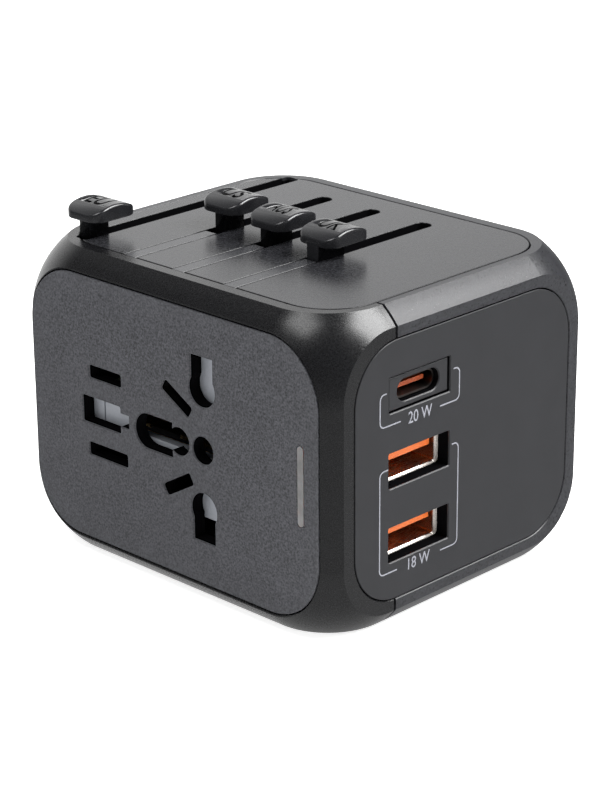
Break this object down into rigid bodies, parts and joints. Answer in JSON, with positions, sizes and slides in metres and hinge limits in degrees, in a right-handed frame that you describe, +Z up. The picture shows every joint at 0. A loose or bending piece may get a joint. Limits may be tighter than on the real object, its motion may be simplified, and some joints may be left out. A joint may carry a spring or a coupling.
{
  "type": "universal travel adapter",
  "caption": "Rounded block travel adapter: multi-country socket on the front, three charging ports on the side and sliders on top that push plug pins out of the back.",
  "frame": {"origin": "on the underside, below the middle of the casing", "axes": "+Z up to the sliders, the socket face looks along -Y, the plug pins leave along +Y, the charging ports face +X"},
  "size_m": [0.069, 0.06, 0.0566],
  "materials": {
    "ceramic": "ceramic tube with metal ends",
    "circuit_board": "solder masked board",
    "component": "moulded component",
    "contact_brass": "sprung brass strip",
    "gloss_black": "gloss black moulded polycarbonate",
    "graphite_matte": "finely speckled graphite matte moulding",
    "graphite_panel": "finely speckled graphite panel",
    "inner_black": "black moulding",
    "light_pipe": "smoky translucent light guide",
    "orange_plastic": "orange contact carrier",
    "pin_brass": "nickel plated brass",
    "port_steel": "stamped plated steel",
    "slider_black": "satin black moulding",
    "spring_steel": "drawn wire",
    "white_plastic": "white moulding",
    "winding": "taped winding"
  },
  "bodies": {
    "casing": {"back_pin_panel": "graphite_panel", "bottom_panel": "graphite_panel", "capacitors": "component", "carriage_bed": "inner_black", "case_screws": "spring_steel", "charger_board": "circuit_board", "choke": "component", "contact_earth": "contact_brass", "contact_live": "contact_brass", "contact_neutral": "contact_brass", "front_panel": "graphite_panel", "front_shell": "gloss_black", "fuse": "ceramic", "fuse_clips": "contact_brass", "indicator_led": "white_plastic", "indicator_light_pipe": "light_pipe", "led_board": "circuit_board", "left_side_panel": "graphite_panel", "rear_shell": "graphite_matte", "shutter_spring": "spring_steel", "slot_fillers": "graphite_matte", "socket_block": "inner_black", "top_panel": "graphite_panel", "transformer": "winding", "usb_a_lower_shell": "port_steel", "usb_a_lower_tongue": "orange_plastic", "usb_a_upper_shell": "port_steel", "usb_a_upper_tongue": "orange_plastic", "usb_c_carrier": "inner_black", "usb_c_insert": "graphite_panel", "usb_c_shell": "port_steel", "usb_c_tongue": "orange_plastic", "usb_side_panel": "graphite_panel"},
    "eu_plug": {"eu_slider": "slider_black", "eu_plug_block": "inner_black", "eu_pin_live": "pin_brass", "eu_pin_neutral": "pin_brass"},
    "us_plug": {"us_slider": "slider_black", "us_carriage": "inner_black", "us_blade_live": "pin_brass", "us_blade_neutral": "pin_brass"},
    "aus_plug": {"aus_slider": "slider_black", "aus_carriage": "inner_black", "aus_blade_live": "pin_brass", "aus_blade_neutral": "pin_brass"},
    "uk_plug": {"uk_slider": "slider_black", "uk_carriage": "inner_black", "uk_pin_live": "pin_brass", "uk_pin_neutral": "pin_brass", "uk_pin_earth": "pin_brass"},
    "shutter": {"safety_shutter": "white_plastic"}
  },
  "joints": [
    {"name": "eu_plug_slide", "type": "slide", "parent": "casing", "child": "eu_plug", "axis": [0, 1, 0], "range_m": [0, 0.04]},
    {"name": "us_plug_slide", "type": "slide", "parent": "casing", "child": "us_plug", "axis": [0, 1, 0], "range_m": [0, 0.02]},
    {"name": "aus_plug_slide", "type": "slide", "parent": "casing", "child": "aus_plug", "axis": [0, 1, 0], "range_m": [0, 0.02]},
    {"name": "uk_plug_slide", "type": "slide", "parent": "casing", "child": "uk_plug", "axis": [0, 1, 0], "range_m": [0, 0.02]},
    {"name": "shutter_slide", "type": "slide", "parent": "casing", "child": "shutter", "axis": [1, 0, 0], "range_m": [0, 0.0096], "stiffness_N_per_m": 40, "springref_m": -0.002}
  ]
}
